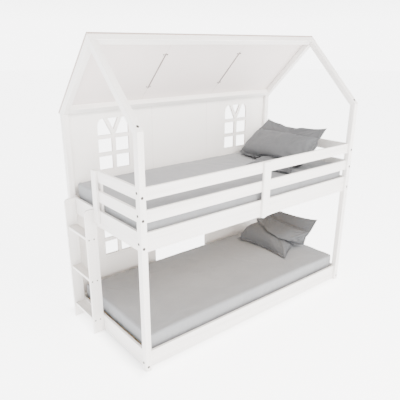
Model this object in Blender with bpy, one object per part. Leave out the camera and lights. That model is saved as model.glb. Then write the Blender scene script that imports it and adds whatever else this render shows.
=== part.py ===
"""House bunk bed: two bunks in a gabled timber frame, with a back roof slope, window walls and a step unit.

Metres, +Z up. X runs along the bed from its left end, Y from the open front to the walled back, and Z up
from the floor. Places are counted from the front left corner of the frame at the floor. The empty that
carries every piece then puts the middle of the footprint at the origin.
"""

from math import ceil, cos, pi, radians, sin, tan

import bmesh
import bpy
from mathutils import Matrix, Vector
from mathutils.bvhtree import BVHTree

# The mattress that each bunk is made for, and the room round it
MATTRESS_LENGTH = 2.0
MATTRESS_WIDTH = 0.90
MATTRESS_SIDE_ROOM = 0.010
MATTRESS_FROM_STILE = 0.002
MATTRESS_END_ROOM = 0.008
GAP = 0.0003
SMOOTH_ANGLE = radians(35)
FLAT_ANGLE = radians(1)
OUTLINE_ANGLE = radians(80)

# Square timbers
POST = 0.045
POST_ROUND = 0.004
EAVE_HEIGHT = 1.585
ROOF_PITCH = radians(45)
EAVE_BEAM_FROM_WALL = 0.0013

# Boards and guard rails
BOARD_THICKNESS = 0.018
BOARD_SETBACK = 0.018
BOARD_HEIGHT = 0.125
BOARD_EASE = 0.0018
RAIL_HEIGHT = 0.078
GUARD_GAP = 0.063
LOWER_BUNK_BOTTOM = 0.010
UPPER_BUNK_BOTTOM = 0.850
FRONT_STILE_CENTRE = 1.07
FRONT_STILE_WIDTH = 0.070
ENTRY_STILE_REAR = 0.598
ENTRY_STILE_WIDTH = 0.060
ENTRY_STILE_LAP = 0.092

# Sizes of the whole bed, from the mattress and the timbers round it
BOARD_INNER = BOARD_SETBACK + BOARD_THICKNESS
MATTRESS_START = max(POST, BOARD_INNER + BOARD_THICKNESS) + MATTRESS_FROM_STILE
LENGTH = MATTRESS_START + MATTRESS_LENGTH + MATTRESS_END_ROOM + BOARD_INNER
MATTRESS_FRONT = max(POST, BOARD_INNER) + MATTRESS_SIDE_ROOM
WIDTH = MATTRESS_WIDTH + 2 * MATTRESS_FRONT

# Roof skin
ROOF_SKIN = 0.012
ROOF_OVERHANG = 0.020
ROOF_PANEL_SEAM = 0.0006
ROOF_LEFT_SEAM = 0.652
ROOF_RIGHT_SEAM = 1.360
ROOF_EASE = 0.001
ROOF_STRIP_LENGTH = 0.352
ROOF_STRIP_WIDTH = 0.008
ROOF_STRIP_THICKNESS = 0.004
ROOF_STRIP_FROM_RIDGE = 0.167
ROOF_STRIP_EASE = 0.001

# Back walls
WALL_THICKNESS = 0.012
WALL_EASE = 0.001
WALL_TOP_FROM_ROOF = 0.003
WALL_BOTTOM = 0.020
WALL_SIDE_WIDTH = 0.717

# Windows
WINDOW_WIDTH = 0.265
WINDOW_CENTRE_FROM_END = 0.407
UPPER_WINDOW_ABOVE_BOARD = 0.149
UPPER_WINDOW_BELOW_TOP = 0.0767
LOWER_WINDOW_ABOVE_BOARD = 0.277
LOWER_WINDOW_BELOW_SEAM = 0.0805
MULLION_WIDTH = 0.033
GLAZING_BAR = 0.030
PANE_HEIGHT_SHARE = 0.312
BRANCH_REACH = 0.060
BRANCH_WIDTH = 0.035
ARCH_CORNER_WIDTH_SHARE = 0.73
ARCH_CORNER_HEIGHT_SHARE = 0.52
ARCH_CORNER_STEPS = 6
SILL_HEIGHT = 0.027
SILL_DEPTH = 0.009
SILL_EASE = 0.0015

# Slatted bases
SLAT_TOP_ABOVE_BOARD_BOTTOM = 0.090
SLAT_THICKNESS = 0.018
SLAT_WIDTH = 0.070
SLAT_COUNT = 13
SLAT_HOUSING = 0.004
SLAT_END_CLEARANCE = 0.002
SLAT_FIRST_FROM_POST = 0.030
BEARER_HEIGHT = 0.034
BEARER_DEPTH = 0.028

# Step unit
STEP_SIDE_THICKNESS = 0.018
STEP_OUTER_REACH = 0.067
STEP_CORNER_ROUND = 0.026
STEP_CORNER_STEPS = 6
STEP_FROM_BACK_POST = 0.033
STEP_FROM_STILE = 0.0008
TREAD_THICKNESS = 0.020
TREAD_FIRST_CENTRE = 0.111
TOP_TREAD_BELOW_BOARD_TOP = 0.218
TREAD_COUNT = 3
TREAD_OUTER_INSET = 0.009
TREAD_HOUSING = 0.004
TREAD_EASE = 0.003

# Mattresses
MATTRESS_THICKNESS = 0.138
MATTRESS_ROUND = 0.030
MATTRESS_ROUND_STEPS = 3
MATTRESS_CROWN = 0.006
MATTRESS_SIDE_SWELL = 0.004
MATTRESS_CELL = 0.125

# Pillows, with corners as shares of the mattress width: from its right end, from its front and above it
PILLOW_FLANGE = 0.014
PILLOW_HEM = 0.120
PILLOW_EDGE_THICKNESS = 0.006
PILLOW_SIDE_DRAW_IN = 0.020
PILLOW_FLAT_SAG = 0.035
UPPER_FLAT_CROWN = 0.045
UPPER_FRONT_CROWN = 0.085
UPPER_BACK_CROWN = 0.130
UPPER_HEAD_DRAW_IN = 0.030
UPPER_FOOT_SLUMP = 0.140
LOWER_FLAT_CROWN = 0.135
LOWER_FRONT_CROWN = 0.090
LOWER_BACK_CROWN = 0.100
LOWER_HEAD_DRAW_IN = 0.004
LOWER_FOOT_SLUMP = 0.200
LOWER_FLAT_TILT_SHARE = 0.43
PILLOW_FULLNESS_SHARE = 0.27
PILLOW_REST_GAP = 0.0007
PILLOW_REST_REACH = 0.030
PILLOW_REST_STEPS = 2
PILLOW_CELLS_ACROSS = 22
PILLOW_CELLS_UP = 18
LOWER_FLAT_PILLOW_SHARES = {
    "back_foot": (0.496, 0.859, 0.011),
    "front_foot": (0.473, 0.200, 0.011),
    "back_head": (0.107, 0.906, 0.011),
    "front_head": (0.129, 0.361, 0.011),
}
LOWER_LEANING_PILLOW_SHARES = {
    "back_foot": (0.234, 0.833, 0.184),
    "front_foot": (0.096, 0.278, 0.023),
    "back_head": (0.029, 0.679, 0.272),
    "front_head": (0.040, 0.179, 0.323),
}
UPPER_FLAT_PILLOW_SHARES = {
    "back_foot": (0.889, 0.461, 0.011),
    "front_foot": (0.687, 0.038, 0.011),
    "back_head": (0.284, 0.733, 0.011),
    "front_head": (0.087, 0.329, 0.011),
}
UPPER_LEANING_PILLOW_SHARES = {
    "back_foot": (0.440, 0.928, 0.011),
    "front_foot": (0.457, 0.089, 0.045),
    "back_head": (0.073, 0.884, 0.322),
    "front_head": (0.108, 0.129, 0.324),
}

# Places that follow from the sizes
RIDGE_Y = WIDTH / 2
RIDGE_HEIGHT = EAVE_HEIGHT + RIDGE_Y * tan(ROOF_PITCH)
SLOPE_LENGTH = RIDGE_Y / cos(ROOF_PITCH)
POST_INNER_HEIGHT = EAVE_HEIGHT - POST * tan((pi / 2 - ROOF_PITCH) / 2)
CLEAR_START = POST + GAP
CLEAR_END = LENGTH - POST - GAP
CLEAR_FRONT = POST + GAP
CLEAR_BACK = WIDTH - POST - GAP
UPPER_BOARD_TOP = UPPER_BUNK_BOTTOM + BOARD_HEIGHT
BOTTOM_RAIL_BOTTOM = UPPER_BOARD_TOP + GUARD_GAP
TOP_RAIL_BOTTOM = BOTTOM_RAIL_BOTTOM + RAIL_HEIGHT + GUARD_GAP
GUARD_TOP = TOP_RAIL_BOTTOM + RAIL_HEIGHT
WALL_FRONT = WIDTH - BOARD_SETBACK + GAP
WALL_SEAM_HEIGHT = UPPER_BUNK_BOTTOM + BOARD_HEIGHT / 2
STEP_INNER_X = BOARD_SETBACK - GAP


def clear_scene():
    for thing in list(bpy.data.objects):
        bpy.data.objects.remove(thing, do_unlink=True)


def new_collection(name):
    made = bpy.data.collections.new(name)
    bpy.context.scene.collection.children.link(made)
    return made


def paint(name, colour, roughness, metallic=0.0):
    made = bpy.data.materials.new(name)
    made.use_nodes = True
    shader = made.node_tree.nodes["Principled BSDF"]
    shader.inputs["Base Color"].default_value = (*colour, 1)
    shader.inputs["Roughness"].default_value = roughness
    shader.inputs["Metallic"].default_value = metallic
    return made


def base_centre():
    """The empty that carries every piece and puts the middle of the bed's footprint at the origin."""
    back_edge = RIDGE_Y + (SLOPE_LENGTH + ROOF_OVERHANG) * cos(ROOF_PITCH) + ROOF_SKIN * sin(ROOF_PITCH)
    made = bpy.data.objects.new("base_centre", None)
    made.location = (-(LENGTH - STEP_OUTER_REACH) / 2, -back_edge / 2, 0)
    BED.objects.link(made)
    return made


clear_scene()
BED = new_collection("house_bunk_bed")
CUTTERS = new_collection("cutters")
CUTTERS.hide_render = True
BASE_CENTRE = base_centre()
WHITE_LACQUER = paint("white_lacquer", (0.86, 0.85, 0.83), 0.42)
WHITE_PANEL = paint("white_panel", (0.84, 0.82, 0.80), 0.5)
PINE = paint("pine", (0.72, 0.55, 0.36), 0.6)
DARK_TRIM = paint("dark_trim", (0.20, 0.17, 0.16), 0.5)
SHEET_CLOTH = paint("sheet_cloth", (0.50, 0.50, 0.51), 0.9)
PILLOW_CLOTH = paint("pillow_cloth", (0.30, 0.30, 0.31), 0.9)


def finish_mesh(shape, name):
    """The mesh data of a bmesh, shaded smooth across its eased edges only."""
    bmesh.ops.recalc_face_normals(shape, faces=shape.faces)
    if shape.calc_volume(signed=True) < 0:
        bmesh.ops.reverse_faces(shape, faces=shape.faces)
    data = bpy.data.meshes.new(name)
    shape.to_mesh(data)
    shape.free()
    data.shade_smooth()
    data.set_sharp_from_angle(angle=SMOOTH_ANGLE)
    return data


def place_part(name, data, material, centre=(0, 0, 0), turn=(0, 0, 0), where=BED):
    data.materials.append(material)
    made = bpy.data.objects.new(name, data)
    made.location = centre
    made.rotation_euler = turn
    made.parent = BASE_CENTRE
    where.objects.link(made)
    return made


def ease_edges(shape, edges, width, steps=2):
    bmesh.ops.bevel(
        shape, geom=edges, offset=width, offset_type="OFFSET", segments=steps, profile=0.5, affect="EDGES"
    )


def block(size):
    shape = bmesh.new()
    bmesh.ops.create_cube(shape, size=1, matrix=Matrix.Diagonal((*size, 1)))
    return shape


def plank(name, low, high, material=WHITE_LACQUER, ease=BOARD_EASE):
    """A board between two opposite corners, with all its edges eased."""
    low, high = Vector(low), Vector(high)
    shape = block(high - low)
    ease_edges(shape, shape.edges[:], ease)
    return place_part(name, finish_mesh(shape, name), material, (low + high) / 2)


def cutter(name, low, high):
    """A hidden box that a Boolean takes away."""
    low, high = Vector(low), Vector(high)
    made = place_part(name, finish_mesh(block(high - low), name), PINE, (low + high) / 2, where=CUTTERS)
    hide_cutter(made)
    return made


def hide_cutter(thing):
    thing.hide_render = True
    thing.display_type = "WIRE"


def cut(thing, tool):
    made = thing.modifiers.new("cut_" + tool.name, "BOOLEAN")
    made.operation = "DIFFERENCE"
    made.object = tool


def extruded_outlines(name, outlines, thickness):
    """The mesh of flat closed outlines, filled and given a thickness either side of their plane."""
    curve = bpy.data.curves.new(name, "CURVE")
    curve.dimensions = "2D"
    curve.fill_mode = "BOTH"
    curve.extrude = thickness / 2
    for points in outlines:
        spline = curve.splines.new("POLY")
        spline.points.add(len(points) - 1)
        for point, (across, up) in zip(spline.points, points):
            point.co = (across, up, 0, 1)
        spline.use_cyclic_u = True
    guide = bpy.data.objects.new(name + "_guide", curve)
    CUTTERS.objects.link(guide)
    bpy.context.view_layer.update()
    graph = bpy.context.evaluated_depsgraph_get()
    data = bpy.data.meshes.new_from_object(guide.evaluated_get(graph))
    bpy.data.objects.remove(guide, do_unlink=True)
    shape = bmesh.new()
    shape.from_mesh(data)
    bpy.data.meshes.remove(data)
    bmesh.ops.remove_doubles(shape, verts=shape.verts, dist=GAP / 10)
    return shape


def gable_bar(name, outline, start_x, thickness):
    """A timber cut to an outline in the gable's plane, its long edges softly rounded."""
    shape = extruded_outlines(name, [outline], thickness)
    bmesh.ops.dissolve_limit(shape, angle_limit=FLAT_ANGLE, verts=shape.verts, edges=shape.edges)
    long_edges = [edge for edge in shape.edges if edge.calc_length() > 2 * POST]
    ease_edges(shape, long_edges, POST_ROUND, 3)
    centre = (start_x + thickness / 2, 0, 0)
    return place_part(name, finish_mesh(shape, name), WHITE_LACQUER, centre, (pi / 2, 0, pi / 2))


def from_back(outline):
    """The same outline mirrored to the back half of the gable."""
    return [(WIDTH - across, up) for across, up in reversed(outline)]


def end_frames():
    """Posts and rafters: each gable's posts are mitred to its rafters, which butt the ridge beam."""
    post = [(0, 0), (POST, 0), (POST, POST_INNER_HEIGHT - GAP), (0, EAVE_HEIGHT - GAP)]
    along = Vector((cos(ROOF_PITCH), sin(ROOF_PITCH)))
    inward = Vector((sin(ROOF_PITCH), -cos(ROOF_PITCH)))
    foot = Vector((0, EAVE_HEIGHT))
    head = Vector((RIDGE_Y, RIDGE_HEIGHT)) - along * (POST + GAP)
    rafter = [foot, Vector((POST, POST_INNER_HEIGHT)), head + inward * POST, head]
    rafter = [tuple(point) for point in rafter]
    for side, start_x in (("left", 0), ("right", LENGTH - POST)):
        gable_bar(f"front_{side}_post", post, start_x, POST)
        gable_bar(f"back_{side}_post", from_back(post), start_x, POST)
        gable_bar(f"{side}_front_rafter", rafter, start_x, POST)
        gable_bar(f"{side}_back_rafter", from_back(rafter), start_x, POST)


def ridge_beam():
    """A full-length beam set on its corner, so that its faces lie in the two roof slopes."""
    apex = Vector((RIDGE_Y, RIDGE_HEIGHT))
    along = Vector((cos(ROOF_PITCH), sin(ROOF_PITCH)))
    front = apex - along * POST
    back = Vector((WIDTH - front.x, front.y))
    bottom = apex - Vector((0, POST / sin(ROOF_PITCH)))
    gable_bar("ridge_beam", [tuple(front), tuple(bottom), tuple(back), tuple(apex)], 0, LENGTH)


def on_back_slope(down, below):
    """The place that far down the back slope from the ridge, and that far under its upper plane."""
    across = RIDGE_Y + down * cos(ROOF_PITCH) - below * sin(ROOF_PITCH)
    return across, RIDGE_HEIGHT - down * sin(ROOF_PITCH) - below * cos(ROOF_PITCH)


def slope_block(name, start_x, end_x, down_from, down_to, below_from, below_to, material, ease):
    """A straight piece that lies in the back roof slope."""
    shape = block((end_x - start_x, down_to - down_from, below_to - below_from))
    ease_edges(shape, shape.edges[:], ease)
    across, up = on_back_slope((down_from + down_to) / 2, (below_from + below_to) / 2)
    centre = ((start_x + end_x) / 2, across, up)
    return place_part(name, finish_mesh(shape, name), material, centre, (-ROOF_PITCH, 0, 0))


def roof():
    """The eave beam between the back rafters, the roof skin in panels and the strips under its joints."""
    beam_end = (WALL_FRONT - EAVE_BEAM_FROM_WALL - RIDGE_Y) / cos(ROOF_PITCH)
    beam_start = beam_end - POST
    slope_block(
        "back_eave_beam", CLEAR_START, CLEAR_END, beam_start, beam_end, GAP, POST, WHITE_LACQUER, POST_ROUND
    )
    half_seam = ROOF_PANEL_SEAM / 2
    for side, start_x, end_x in (
        ("left", 0, ROOF_LEFT_SEAM - half_seam),
        ("centre", ROOF_LEFT_SEAM + half_seam, ROOF_RIGHT_SEAM - half_seam),
        ("right", ROOF_RIGHT_SEAM + half_seam, LENGTH),
    ):
        slope_block(
            f"roof_panel_{side}", start_x, end_x, 0, SLOPE_LENGTH + ROOF_OVERHANG, -GAP - ROOF_SKIN, -GAP,
            WHITE_PANEL, ROOF_EASE,
        )
    for side, centre_x in (("left", ROOF_LEFT_SEAM), ("right", ROOF_RIGHT_SEAM)):
        slope_block(
            f"roof_joint_strip_{side}", centre_x - ROOF_STRIP_WIDTH / 2, centre_x + ROOF_STRIP_WIDTH / 2,
            ROOF_STRIP_FROM_RIDGE, ROOF_STRIP_FROM_RIDGE + ROOF_STRIP_LENGTH, 0, ROOF_STRIP_THICKNESS,
            DARK_TRIM, ROOF_STRIP_EASE,
        )


def bunk_boards(bunk, bottom):
    """The four wide boards between the posts that carry one bunk."""
    top = bottom + BOARD_HEIGHT
    back_start, back_end = WIDTH - BOARD_INNER, WIDTH - BOARD_SETBACK
    right_start, right_end = LENGTH - BOARD_INNER, LENGTH - BOARD_SETBACK
    plank(f"{bunk}_front_board", (CLEAR_START, BOARD_SETBACK, bottom), (CLEAR_END, BOARD_INNER, top))
    plank(f"{bunk}_back_board", (CLEAR_START, back_start, bottom), (CLEAR_END, back_end, top))
    plank(f"{bunk}_left_board", (BOARD_SETBACK, CLEAR_FRONT, bottom), (BOARD_INNER, CLEAR_BACK, top))
    plank(f"{bunk}_right_board", (right_start, CLEAR_FRONT, bottom), (right_end, CLEAR_BACK, top))


def guards():
    """Two rails round the upper bunk's front and ends, with a stile at the front and at the entry."""
    for level, bottom in (("bottom", BOTTOM_RAIL_BOTTOM), ("top", TOP_RAIL_BOTTOM)):
        top = bottom + RAIL_HEIGHT
        plank(
            f"front_guard_rail_{level}",
            (CLEAR_START, BOARD_SETBACK, bottom),
            (CLEAR_END, BOARD_INNER, top),
        )
        plank(
            f"left_guard_rail_{level}",
            (BOARD_SETBACK, CLEAR_FRONT, bottom),
            (BOARD_INNER, ENTRY_STILE_REAR, top),
        )
        plank(
            f"right_guard_rail_{level}",
            (LENGTH - BOARD_INNER, CLEAR_FRONT, bottom),
            (LENGTH - BOARD_SETBACK, CLEAR_BACK, top),
        )
    plank(
        "front_guard_stile",
        (FRONT_STILE_CENTRE - FRONT_STILE_WIDTH / 2, 0, UPPER_BUNK_BOTTOM),
        (FRONT_STILE_CENTRE + FRONT_STILE_WIDTH / 2, BOARD_SETBACK - GAP, GUARD_TOP),
    )
    stile_front = ENTRY_STILE_REAR - ENTRY_STILE_WIDTH
    plank(
        "entry_stile_outer",
        (0, stile_front, UPPER_BOARD_TOP - ENTRY_STILE_LAP),
        (BOARD_SETBACK - GAP, ENTRY_STILE_REAR, GUARD_TOP),
    )
    plank(
        "entry_stile_inner",
        (BOARD_INNER + GAP, stile_front, UPPER_BOARD_TOP - ENTRY_STILE_LAP / 2),
        (BOARD_INNER + BOARD_THICKNESS, ENTRY_STILE_REAR, GUARD_TOP),
    )


def window_panes(height):
    """The outlines of the seven panes, from the middle of the window's bottom edge."""
    half = WINDOW_WIDTH / 2
    mullion = MULLION_WIDTH / 2
    pane = (height - 2 * GLAZING_BAR) * PANE_HEIGHT_SHARE
    arch_start = 2 * (pane + GLAZING_BAR)
    arch_height = height - arch_start
    corner = arch_height * ARCH_CORNER_HEIGHT_SHARE
    branch_outer = BRANCH_REACH + BRANCH_WIDTH / 2
    corner_width = (half - branch_outer) * ARCH_CORNER_WIDTH_SHARE
    panes = []
    for bottom in (0, pane + GLAZING_BAR):
        panes.append([(mullion, bottom), (half, bottom), (half, bottom + pane), (mullion, bottom + pane)])
    side = [(mullion, arch_start), (half, arch_start)]
    for step in range(ARCH_CORNER_STEPS + 1):
        angle = pi / 2 * step / ARCH_CORNER_STEPS
        across = half - corner_width * (1 - cos(angle))
        side.append((across, height - corner * (1 - sin(angle))))
    side.append((branch_outer, height))
    panes.append(side)
    mirrored = [[(-across, up) for across, up in reversed(points)] for points in panes]
    reach = BRANCH_REACH - BRANCH_WIDTH / 2
    lean = (branch_outer - mullion) / arch_height
    middle = [(0, height - reach / lean), (reach, height), (-reach, height)]
    return panes + mirrored + [middle]


def window_cutter(name, centre_x, bottom, height):
    """The hidden prisms that cut one window's panes from a wall."""
    shape = extruded_outlines(name, window_panes(height), 3 * WALL_THICKNESS)
    centre = (centre_x, WALL_FRONT + WALL_THICKNESS / 2, bottom)
    made = place_part(name, finish_mesh(shape, name), PINE, centre, (pi / 2, 0, 0), CUTTERS)
    hide_cutter(made)
    return made


def wall_panel(name, start_x, end_x, bottom, top):
    wall_back = WALL_FRONT + WALL_THICKNESS
    return plank(name, (start_x, WALL_FRONT, bottom), (end_x, wall_back, top), WHITE_PANEL, WALL_EASE)


def back_walls():
    """Three panels behind the upper bunk and two behind the lower one, with a window at each side."""
    left_end = POST + WALL_SIDE_WIDTH
    right_start = LENGTH - left_end
    wall_back = WALL_FRONT + WALL_THICKNESS
    roof_over_wall = EAVE_HEIGHT + (WIDTH - wall_back) * tan(ROOF_PITCH)
    top = roof_over_wall - WALL_TOP_FROM_ROOF
    upper_bottom = UPPER_BOARD_TOP + UPPER_WINDOW_ABOVE_BOARD
    upper_top = top - UPPER_WINDOW_BELOW_TOP
    lower_bottom = LOWER_BUNK_BOTTOM + BOARD_HEIGHT + LOWER_WINDOW_ABOVE_BOARD
    lower_top = WALL_SEAM_HEIGHT - LOWER_WINDOW_BELOW_SEAM
    seam = GAP / 2
    wall_panel("upper_wall_centre", left_end + seam, right_start - seam, WALL_SEAM_HEIGHT + seam, top)
    for side, start_x, end_x, window_x in (
        ("left", CLEAR_START, left_end - seam, WINDOW_CENTRE_FROM_END),
        ("right", right_start + seam, CLEAR_END, LENGTH - WINDOW_CENTRE_FROM_END),
    ):
        upper = wall_panel(f"upper_wall_{side}", start_x, end_x, WALL_SEAM_HEIGHT + seam, top)
        lower = wall_panel(f"lower_wall_{side}", start_x, end_x, WALL_BOTTOM, WALL_SEAM_HEIGHT - seam)
        cut(upper, window_cutter(f"upper_{side}_panes", window_x, upper_bottom, upper_top - upper_bottom))
        cut(lower, window_cutter(f"lower_{side}_panes", window_x, lower_bottom, lower_top - lower_bottom))
        plank(
            f"lower_window_sill_{side}",
            (window_x - WINDOW_WIDTH / 2, WALL_FRONT - GAP - SILL_DEPTH, lower_bottom - SILL_HEIGHT),
            (window_x + WINDOW_WIDTH / 2, WALL_FRONT - GAP, lower_bottom),
            ease=SILL_EASE,
        )


def join(thing, others):
    """One solid of a piece and those housed in it."""
    for other in others:
        made = thing.modifiers.new("join_" + other.name, "BOOLEAN")
        made.operation = "UNION"
        made.object = other
        CUTTERS.objects.link(other)
        BED.objects.unlink(other)
        hide_cutter(other)


def slatted_base(bunk, board_bottom):
    """Slats across the bunk, housed in the front bearer and lying on the back one."""
    slat_top = board_bottom + SLAT_TOP_ABOVE_BOARD_BOTTOM
    slat_bottom = slat_top - SLAT_THICKNESS
    front = plank(
        f"{bunk}_slats_on_front_bearer",
        (CLEAR_START, BOARD_INNER + GAP, slat_bottom - BEARER_HEIGHT),
        (CLEAR_END, BOARD_INNER + GAP + BEARER_DEPTH, slat_bottom + SLAT_HOUSING),
        PINE,
    )
    plank(
        f"{bunk}_back_bearer",
        (CLEAR_START, WIDTH - BOARD_INNER - GAP - BEARER_DEPTH, slat_bottom - BEARER_HEIGHT),
        (CLEAR_END, WIDTH - BOARD_INNER - GAP, slat_bottom - GAP),
        PINE,
    )
    first = CLEAR_START + SLAT_FIRST_FROM_POST
    last = CLEAR_END - SLAT_FIRST_FROM_POST - SLAT_WIDTH
    slats = []
    for index in range(SLAT_COUNT):
        start_x = first + (last - first) * index / (SLAT_COUNT - 1)
        low = Vector((start_x, BOARD_INNER + SLAT_END_CLEARANCE, slat_bottom))
        high = Vector((start_x + SLAT_WIDTH, WIDTH - BOARD_INNER - SLAT_END_CLEARANCE, slat_top))
        shape = block(high - low)
        name = f"{bunk}_slat_{index + 1}"
        slats.append(place_part(name, finish_mesh(shape, name), PINE, (low + high) / 2))
    join(front, slats)


def step_side(name, front_y):
    """An upright board with its outer top corner rounded."""
    low = Vector((-STEP_OUTER_REACH, front_y, 0))
    high = Vector((STEP_INNER_X, front_y + STEP_SIDE_THICKNESS, UPPER_BOARD_TOP))
    size = high - low
    shape = block(size)
    corner = [
        edge
        for edge in shape.edges
        if all(vertex.co.x < 0 and vertex.co.z > 0 for vertex in edge.verts)
    ]
    ease_edges(shape, corner, STEP_CORNER_ROUND, STEP_CORNER_STEPS)
    outline = [
        edge for edge in shape.edges if edge.calc_face_angle() > OUTLINE_ANGLE or on_side_face(edge, size)
    ]
    ease_edges(shape, outline, BOARD_EASE)
    return place_part(name, finish_mesh(shape, name), WHITE_LACQUER, (low + high) / 2)


def on_side_face(edge, size):
    """Whether an edge of a step side lies along the outline of one of its wide faces."""
    reach = size.y / 2 - GAP
    ends = [vertex.co.y for vertex in edge.verts]
    return min(ends) > reach or max(ends) < -reach


def step_unit():
    """Two upright sides against the left end and three treads housed in them."""
    front_side_y = ENTRY_STILE_REAR + STEP_FROM_STILE
    rear_side_y = WIDTH - POST - STEP_FROM_BACK_POST - STEP_SIDE_THICKNESS
    front = step_side("step_front_side", front_side_y)
    rear = step_side("step_rear_side", rear_side_y)
    start_y = front_side_y + STEP_SIDE_THICKNESS - TREAD_HOUSING
    end_y = rear_side_y + TREAD_HOUSING
    top_tread = UPPER_BOARD_TOP - TOP_TREAD_BELOW_BOARD_TOP
    rise = (top_tread - TREAD_FIRST_CENTRE) / (TREAD_COUNT - 1)
    for index, place in zip(range(TREAD_COUNT), ("bottom", "middle", "top")):
        centre_z = TREAD_FIRST_CENTRE + index * rise
        low = Vector((TREAD_OUTER_INSET - STEP_OUTER_REACH, start_y + GAP, centre_z - TREAD_THICKNESS / 2))
        high = Vector((STEP_INNER_X, end_y - GAP, centre_z + TREAD_THICKNESS / 2))
        plank(f"step_tread_{place}", low, high, ease=TREAD_EASE)
        room = Vector((GAP, GAP, GAP))
        housing = cutter(
            f"tread_housing_{place}", low - room, high + room + Vector((STEP_SIDE_THICKNESS, 0, 0))
        )
        cut(front, housing)
        cut(rear, housing)


def mattress(name, bottom):
    """A foam mattress in a fitted sheet: rounded edges, a slightly crowned top and swollen sides.

    It returns a search tree over itself, by which the pillows find the height of its top.
    """
    shape = block((MATTRESS_LENGTH, MATTRESS_WIDTH, MATTRESS_THICKNESS))
    ease_edges(shape, shape.edges[:], MATTRESS_ROUND, MATTRESS_ROUND_STEPS)
    half = Vector((MATTRESS_LENGTH, MATTRESS_WIDTH, MATTRESS_THICKNESS)) / 2
    for axis in (0, 1):
        flat = half[axis] - MATTRESS_ROUND
        count = ceil(2 * flat / MATTRESS_CELL)
        for index in range(1, count):
            place = Vector((0, 0, 0))
            place[axis] = -flat + 2 * flat * index / count
            normal = Vector((axis == 0, axis == 1, 0))
            geometry = shape.verts[:] + shape.edges[:] + shape.faces[:]
            bmesh.ops.bisect_plane(shape, geom=geometry, plane_co=place, plane_no=normal)
    for vertex in shape.verts:
        across = min(1, abs(vertex.co.x) / half.x), min(1, abs(vertex.co.y) / half.y)
        dome = (1 - across[0] ** 4) * (1 - across[1] ** 4)
        if vertex.co.z > 0:
            vertex.co.z += MATTRESS_CROWN * dome
        middle = 1 - (vertex.co.z / half.z) ** 2 if abs(vertex.co.z) < half.z else 0
        if abs(vertex.co.y) > half.y - GAP:
            swell = MATTRESS_SIDE_SWELL * middle * (1 - across[0] ** 4)
            vertex.co.y += swell if vertex.co.y > 0 else -swell
    centre = (MATTRESS_START + half.x, WIDTH / 2, bottom + half.z)
    bmesh.ops.translate(shape, verts=shape.verts, vec=centre)
    tree = BVHTree.FromBMesh(shape)
    place_part(name, finish_mesh(shape, name), SHEET_CLOTH)
    return tree


def resting_height(trees, spot):
    """The greatest height of the pieces below a spot or close beside it, or nothing where none are."""
    steps = range(-PILLOW_REST_STEPS, PILLOW_REST_STEPS + 1)
    reach = PILLOW_REST_REACH / PILLOW_REST_STEPS
    heights = []
    for step_x in steps:
        for step_y in steps:
            shift = Vector((step_x * reach, step_y * reach, LENGTH))
            hits = [tree.ray_cast(spot + shift, Vector((0, 0, -1)))[0] for tree in trees]
            heights += [hit.z for hit in hits if hit]
    return max(heights, default=0)


def bulge(across, up, width, height, hem):
    """How full the case is at a place in its outline, from none along its edges to one in the middle."""
    side = 1 - 2 * PILLOW_FLANGE / width
    low = -1 + 2 * PILLOW_FLANGE / height
    high = 1 - 2 * hem / height
    up = (2 * up - low - high) / (high - low)
    return (max(0, 1 - (across / side) ** 2) * max(0, 1 - up**2)) ** PILLOW_FULLNESS_SHARE


def pillow_corner(shares, ground):
    """A corner's place, from its shares of the mattress width."""
    from_end, from_front, above = (share * MATTRESS_WIDTH for share in shares)
    right_end = MATTRESS_START + MATTRESS_LENGTH
    return Vector((right_end - from_end, MATTRESS_FRONT + from_front, ground + above))


def pillow(
    name, corners, ground, hem, trees, front_crown, back_crown, tilt_share=0, head_draw_in=0, foot_slump=0
):
    """A filled case with a flat hem along its head, slumped on what lies under its four corners."""
    names = ("back_foot", "front_foot", "back_head", "front_head")
    foot_back, foot_front, head_back, head_front = (pillow_corner(corners[key], ground) for key in names)
    facing = foot_front - foot_back
    rising = (head_back + head_front - foot_back - foot_front) / 2
    level = facing.cross(Vector((0, 0, 1))).normalized()
    outward = rising.cross(facing).normalized()
    if outward.z < 0:
        outward.negate()
    shape = bmesh.new()
    bmesh.ops.create_grid(shape, x_segments=PILLOW_CELLS_ACROSS, y_segments=PILLOW_CELLS_UP, size=1)
    bmesh.ops.solidify(shape, geom=shape.faces[:], thickness=1)
    middle = sum(vertex.co.z for vertex in shape.verts) / len(shape.verts)
    for vertex in shape.verts:
        across, up = (sin(place * pi / 2) for place in vertex.co.xy)
        front = vertex.co.z > middle
        foot = foot_back.lerp(foot_front, (1 + across) / 2)
        head = head_back.lerp(head_front, (1 + across) / 2)
        spot = foot.lerp(head, (1 + up) / 2)
        spot -= facing.normalized() * PILLOW_SIDE_DRAW_IN * across * (1 - up**2)
        if up > 0:
            spot -= rising.normalized() * head_draw_in * up * (1 - across**2)
        else:
            spot -= level * foot_slump * up * (1 - across**2)
        full = bulge(across, up, facing.length, rising.length, hem) * (1 - tilt_share * across)
        back_spot = spot - outward * (back_crown * full + PILLOW_EDGE_THICKNESS / 2)
        back_spot.z = max(back_spot.z, resting_height(trees, back_spot) + PILLOW_REST_GAP)
        front_spot = spot + outward * (front_crown * full + PILLOW_EDGE_THICKNESS / 2)
        floor = max(back_spot.z, resting_height(trees, front_spot) + PILLOW_REST_GAP)
        front_spot.z = max(front_spot.z, floor + PILLOW_EDGE_THICKNESS)
        vertex.co = front_spot if front else back_spot
    tree = BVHTree.FromBMesh(shape)
    place_part(name, finish_mesh(shape, name), PILLOW_CLOTH)
    return tree


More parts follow.
